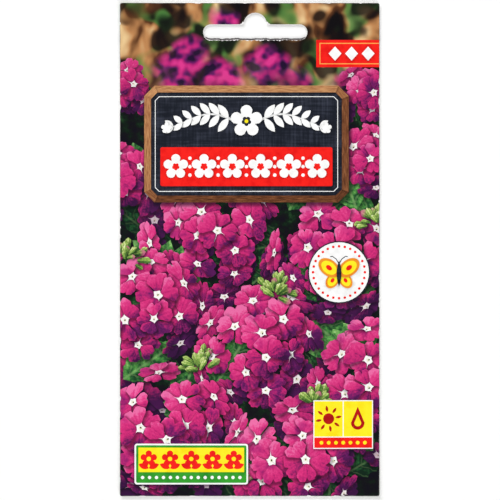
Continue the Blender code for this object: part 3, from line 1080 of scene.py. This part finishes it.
def lay_head(centre, radius, florets, floret_radius, tint):
    """A low dome of florets, loosely on a sunflower spiral. The outermost are laid first and lean most."""
    spin = draw.uniform(0, 6)
    for number in reversed(range(florets)):
        share = math.sqrt((number + 0.3) / florets)
        angle = spin + number * GOLDEN_ANGLE + draw.uniform(-0.2, 0.2)
        spot = centre + radius * share * toward(angle) * (1, 0.95)
        spot += draw.uniform(-1.3, 1.3, 2)
        lean = 0.9 * share**1.5 + draw.uniform(0.0, 0.4)
        edge = max(0.0, share - 0.6) * draw.uniform(0.0, 1.3)
        low = draw.uniform(0.0, 0.4) if math.sin(angle) < -0.3 and share > 0.7 else 0.0
        lay_floret(spot, floret_radius * draw.uniform(0.88, 1.08), lean, angle, tint + edge + low)


front_print.lay(rectangle(-HALF_WIDTH - 5, -HALF_LENGTH - 5, HALF_WIDTH + 5, HALF_LENGTH + 5), GROUND)
for _ in range(DEEP_LEAVES):
    lay_leaf(
        draw.uniform((-40, -76), (40, 40)), draw.uniform(0, 2 * math.pi), draw.uniform(14, 24),
        draw.uniform(8, 12), 5, draw.uniform(0.5, 0.95),
    )
for _ in range(DEEP_FLORETS):
    lay_floret(
        draw.uniform((-40, -76), (40, 34)), draw.uniform(5.6, 6.6), draw.uniform(0.1, 0.9),
        draw.uniform(0, 6.28), draw.uniform(0.7, 1.15),
    )
LEAVES = [
    (-15, -10, 2.6, 24, 14), (9, -14, 0.4, 22, 13), (-12, -44, 1.0, 22, 13), (19, -22, 5.6, 24, 14),
    (40, -26, 3.4, 22, 13), (-39, -1, 5.9, 24, 13), (12, 12, 1.0, 22, 12), (-39, -40, 0.6, 20, 12),
    (39, 10, 2.7, 22, 13), (-18, -37, 4.4, 20, 11), (33, 12, 1.9, 20, 12), (-36, 33, 4.9, 18, 10),
    (-1, -53, 5.2, 20, 11), (38, -62, 2.3, 20, 12), (-38, 55, 5.3, 15, 8), (37, 52, 4.2, 16, 9),
]
for x, y, angle, length, width in LEAVES:
    lay_leaf((x, y), angle, length, width, 6, draw.uniform(0.0, 0.3))
HEADS = [
    (-37, 49, 7, 5, 5.2, 0.3), (37, 47, 9, 7, 5.6, 0.2), (37, 27, 12, 8, 6.2, 0.1),
    (-39, 22, 11, 8, 6.2, 0.12), (-10, 4, 21, 16, 6.5, 0.06), (26, -3, 19, 13, 6.6, 0.05),
    (-31, -18, 19, 13, 6.7, 0.05), (3, -31, 21, 16, 6.8, 0.0), (36, -40, 18, 11, 6.9, 0.05),
    (-25, -56, 21, 15, 7.0, 0.0), (14, -66, 22, 16, 7.1, 0.0),
]
for x, y, radius, florets, floret_radius, tint in HEADS:
    lay_head((x, y), radius, florets, floret_radius, tint)
BUD_TUFTS = [
    (8, -14, 5.6, 20, 1.2), (-15, -37, 5.8, 22, 1.9), (-38, -3, 5.2, 16, 0.9), (20, -48, 5.6, 20, 1.0),
    (39, 8, 5.0, 16, 2.0), (-4, -72, 4.6, 14, 1.5),
]
for x, y, radius, count, upward in BUD_TUFTS:
    lay_buds((x, y), radius, count, upward)

# The front's label.
# A charcoal panel in a wooden frame, level and with its corners cut off. A white sprig lies over its upper
# half and a red band with a row of white flowers over its lower half.
LABEL_LEFT, LABEL_RIGHT, LABEL_BOTTOM, LABEL_TOP = -32.5, 30.5, 14.5, 50.5
LABEL_MIDDLE = (LABEL_LEFT + LABEL_RIGHT) / 2
FRAME_WIDTH = 2.1
BAND_BOTTOM, BAND_TOP = LABEL_BOTTOM + 5, LABEL_BOTTOM + 17
BAND_FLOWERS, FLOWER_PITCH = 6, 8.7
SPRIG_Y = LABEL_TOP - 11.0
RAISED = (0.6, 0.3)


def cut_corners(inset, corner=3.2):
    """The label's outline, inset by so much: a rectangle with its corners cut off at 45 degrees."""
    x0, y0, x1, y1 = LABEL_LEFT + inset, LABEL_BOTTOM + inset, LABEL_RIGHT - inset, LABEL_TOP - inset
    cut = corner - inset * (2 - math.sqrt(2))
    return np.array([
        (x0 + cut, y0), (x1 - cut, y0), (x1, y0 + cut), (x1, y1 - cut),
        (x1 - cut, y1), (x0 + cut, y1), (x0, y1 - cut), (x0, y0 + cut),
    ])


def sprig_stem(side, share):
    """Points on the stem that runs out to one side of the middle flower, in a sine wave."""
    return np.stack([LABEL_MIDDLE + side * (3.4 + 21 * share), SPRIG_Y + 2.2 * np.sin(share * 4.4)], axis=-1)


outer, inner = cut_corners(0), cut_corners(FRAME_WIDTH)
front_print.lay(outer, CHARCOAL, shadow=(0.8, 1.3))
for number in range(8):
    following = (number + 1) % 8
    strip = np.array([outer[number], outer[following], inner[following], inner[number]])
    run = outer[following] - outer[number]
    angle = math.atan2(run[1], run[0])
    light = (toward(angle - math.pi / 2) @ LIGHT, 0, 0)
    front_print.lay(strip, WOOD, outer[number] + (0, number * 40.0), turned(angle), 0.0, light, (0.6, 0.5))
front_print.lay(cut_corners(3.3), WHITE)
front_print.lay(cut_corners(3.52), CHARCOAL)
band = rectangle(LABEL_LEFT + 5, BAND_BOTTOM, LABEL_RIGHT - 5, BAND_TOP, 0.6)
front_print.lay(band, RED, shadow=(0.7, 0.5))
for number in range(BAND_FLOWERS):
    x, y = LABEL_MIDDLE + (number - 2.5) * FLOWER_PITCH, (BAND_BOTTOM + BAND_TOP) / 2
    front_print.lay(rosette((x, y), 3.9, 0.46), WHITE, shadow=RAISED)
    front_print.lay(rosette((x, y), 1.15, 0.3, 270), RED)
    if number < BAND_FLOWERS - 1:
        for lift in (-2.6, 0.0, 2.6):
            front_print.lay(disc(x + FLOWER_PITCH / 2, y + lift, 0.55), WHITE)
for side in (-1, 1):
    share = np.linspace(0, 1, 17)[::side]
    front_print.lay(ribbon(sprig_stem(side, share), 0.75 - 0.4 * share), WHITE, shadow=RAISED)
    for share in 0.1 + 0.135 * np.arange(7):
        for lift in (1, -1):
            angle = lift * (0.95 - 0.35 * share)
            angle = angle if side > 0 else math.pi - angle
            leaf = blade(sprig_stem(side, share), angle, 5.6 - 2.6 * share, 2.3 - 0.7 * share)
            front_print.lay(leaf, WHITE, shadow=RAISED)
    front_print.lay(rosette(sprig_stem(side, 1.0) + (side * 0.2, 0), 1.7, 0.4), WHITE, shadow=RAISED)
front_print.lay(rosette((LABEL_MIDDLE, SPRIG_Y), 5.0, 0.45), WHITE, shadow=RAISED)
front_print.lay(rosette((LABEL_MIDDLE, SPRIG_Y), 1.5, 0.3, 270), CHARCOAL)
front_print.lay(disc(LABEL_MIDDLE, SPRIG_Y, 0.6), YELLOW)

# The front's small marks.
# Each is made of flat shapes laid on the picture: a red flag at the upper right edge, a round spot with a
# butterfly, two yellow cells with a sun and a drop, and a plate in yellow, green and red.
for left, bottom, top, ink in ((20.5, 56.2, 64.6, RED), (21.5, 57.1, 63.7, GOLD), (21.8, 57.4, 63.4, RED)):
    front_print.lay(rectangle(left, bottom, 46, top), ink)
for x in (26.3, 31.4, 36.5):
    diamond = np.array([(x, 58.2), (x + 2.0, 60.4), (x, 62.6), (x - 2.0, 60.4)])
    front_print.lay(diamond, WHITE, shadow=(0.5, 0.25))

SPOT = np.array([27.5, -7.0])
front_print.lay(disc(*SPOT, 9.6, 40), CHARCOAL, shadow=(0.7, 0.9))
front_print.lay(disc(*SPOT, 9.25, 40), WHITE)
for step in range(28):
    front_print.lay(disc(*(SPOT + 8.0 * toward(2 * math.pi * step / 28)), 0.42, 8), RED)
for wing_x, wing_y, lean, long, wide in ((2.0, -2.5, -55, 2.7, 1.9), (3.1, 1.4, 38, 3.7, 2.5)):
    for side in (-1, 1):
        for size, ink, dark in ((1.0, ORANGE, 0.4), (0.72, YELLOW, 0.0), (0.28, RED, 0.0)):
            axes = turned(math.radians(lean if side > 0 else 180 - lean), long * size, wide * size)
            wing = disc(0, 0, 1, 24) @ axes.T + SPOT + (side * wing_x, wing_y)
            front_print.lay(wing, ink, shadow=(dark, 0.3))
for side in (-1, 1):
    feeler = SPOT + [(0, 2.6), (side * 0.9, 4.1), (side * 2.0, 4.9), (side * 2.7, 4.8)]
    front_print.lay(ribbon(feeler[::side], 0.28), CHARCOAL)
front_print.lay(blade(SPOT + (0, -4.4), math.pi / 2, 8.0, 1.5), CHARCOAL, shadow=(0.4, 0.3))

front_print.lay(rectangle(19.6, -61.4, 38.0, -46.4), WHITE, shadow=(0.6, 0.6))
for x0, x1 in ((19.9, 28.65), (28.95, 37.7)):
    front_print.lay(rectangle(x0, -57.6, x1, -46.7), YELLOW)
front_print.lay(rectangle(19.9, -61.1, 37.7, -57.9), RED)
for x in np.linspace(22.1, 35.5, 7):
    front_print.lay(disc(x, -59.5, 0.6), YELLOW)
lay_sun(front_print, 24.3, -52.1, 1.7, 8, 10, 2.0, DARK_RED)
front_print.lay(drop(33.3, -53.4, 2.1, 5.0), DARK_RED)
front_print.lay(drop(33.3, -53.4, 1.1, 2.6, 8), YELLOW)

PLATE_LEFT, PLATE_BOTTOM, PLATE_RIGHT, PLATE_TOP = -35.5, -72.4, -0.5, -59.8
PLATE_FIELDS = [(0, 0, 0.8, WHITE, 0.7), (0.5, 0.5, 0.5, GREEN, 0), (1.2, 3.8, 0, YELLOW, 0)]
for inset, foot, corner, ink, dark in PLATE_FIELDS:
    field = rectangle(PLATE_LEFT + inset, PLATE_BOTTOM + foot, PLATE_RIGHT - inset, PLATE_TOP - inset, corner)
    front_print.lay(field, ink, shadow=(dark, 0.8))
for number in range(5):
    x, y = PLATE_LEFT + 4.4 + number * 6.55, PLATE_BOTTOM + 5.0
    for angle in (22, 158):
        front_print.lay(blade((x, y), math.radians(angle), 3.4, 1.7), RED)
    front_print.lay(rosette((x, y + 2.9), 2.6), RED)
    front_print.lay(disc(x, y + 2.9, 0.7), YELLOW)
for x in np.linspace(PLATE_LEFT + 2.5, PLATE_RIGHT - 2.5, 15):
    front_print.lay(disc(x, PLATE_BOTTOM + 2.15, 0.55, 8), WHITE)

# The front's worn paper, and painted shade at its edges.
# Thin dark strips of painted shade line the cut edges, rubbed white in a few places. The dull punch tore the
# film along the slot's lower edge and in the two corners beside the dome, down to the white paper.
PAINTED_EDGE_SHADE, RUBBED = 0.85, 0.1
EDGE_STEP, RUB_SPACING = 1.6, 14
LIP_STEPS, LIP_END_STEPS = 84, 10
NICK = np.array([
    (-0.6, -0.5), (0.9, -0.5), (1.0, 0.12), (0.45, 0.35), (0.3, 0.8), (-0.1, 0.75), (-0.6, 0.3),
])
wear = np.random.default_rng(41)


def lay_edge_shade_and_wear(start, run, share, depth, tint):
    """A strip along one side of the sheet, from beyond its edge to so deep inside it at each share of it."""
    inward = np.array([-run[1], run[0]]) / np.linalg.norm(run)
    edge = start + run * share[:, None] + inward * depth[:, None]
    front_print.lay(np.vstack([edge[[0, -1]] - inward, edge[::-1]]), CHIP_AND_EDGE_SHADE, tint=tint)


corners = rectangle(-HALF_WIDTH, -HALF_LENGTH, HALF_WIDTH, HALF_LENGTH)
for start, run in zip(corners, np.roll(corners, -1, axis=0) - corners):
    length = np.linalg.norm(run)
    count = int(length / EDGE_STEP)
    depth = 0.11 + 0.04 * wear.standard_normal(count)
    # Painted shade: a thin dark strip inside each cut edge.
    lay_edge_shade_and_wear(start, run, np.linspace(0, 1, count), depth.clip(0.04, 0.2), PAINTED_EDGE_SHADE)
    for place in wear.uniform(0.02, 0.98, int(length / RUB_SPACING)):
        share = place + np.array([0.0, 0.3, 0.7, 1.0]) * wear.uniform(0.6, 3.0) / length
        depth = np.array([0.02, 1.0, 0.8, 0.02]) * wear.uniform(0.14, 0.34)
        lay_edge_shade_and_wear(start, run, share, depth, RUBBED)
turn = np.radians(np.concatenate([
    np.linspace(205, 270, LIP_END_STEPS), np.full(LIP_STEPS, 270), np.linspace(270, 340, LIP_END_STEPS),
]))
normal = np.column_stack([np.cos(turn), np.sin(turn)])
bar_x = np.pad(np.linspace(-BAR_HALF, BAR_HALF, LIP_STEPS), LIP_END_STEPS, "edge")
edge = np.column_stack([SLOT_CENTRE_X + bar_x, SLOT_BAR_BOTTOM_Y + SLOT_END + slot_wander(bar_x)])
edge += normal * SLOT_END
ragged = 0.1 + 0.15 * np.sin(bar_x * 1.3) * np.sin(bar_x * 0.41 + 1) + wear.uniform(-0.2, 0.22, len(turn))
torn = ragged.clip(0.03) * np.sin(np.linspace(0, math.pi, len(turn))) ** 0.3
front_print.lay(np.vstack([edge + normal * torn[:, None], (edge - normal * 0.5)[::-1]]), CHIP_AND_EDGE_SHADE)
for side in (-1, 1):
    dome_corner = (SLOT_CENTRE_X + side * SLOT_DOME_RADIUS, SLOT_BAR_BOTTOM_Y + SLOT_BAR_HEIGHT)
    front_print.lay((NICK * (side, 1) + dome_corner)[::side], CHIP_AND_EDGE_SHADE)

# The front sheet itself, with its print laid and its slot cut.
front_sheet = closed_sheet(
    "printed_front", front_print, front_inks, bare_paper("front_inside", 0.0),
    slot_outline(SLOT_CENTRE_X, slot_wander(BAR_X)), front_height, 1, 0.85,
)
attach(front_sheet, "root")
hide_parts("front_sheet")
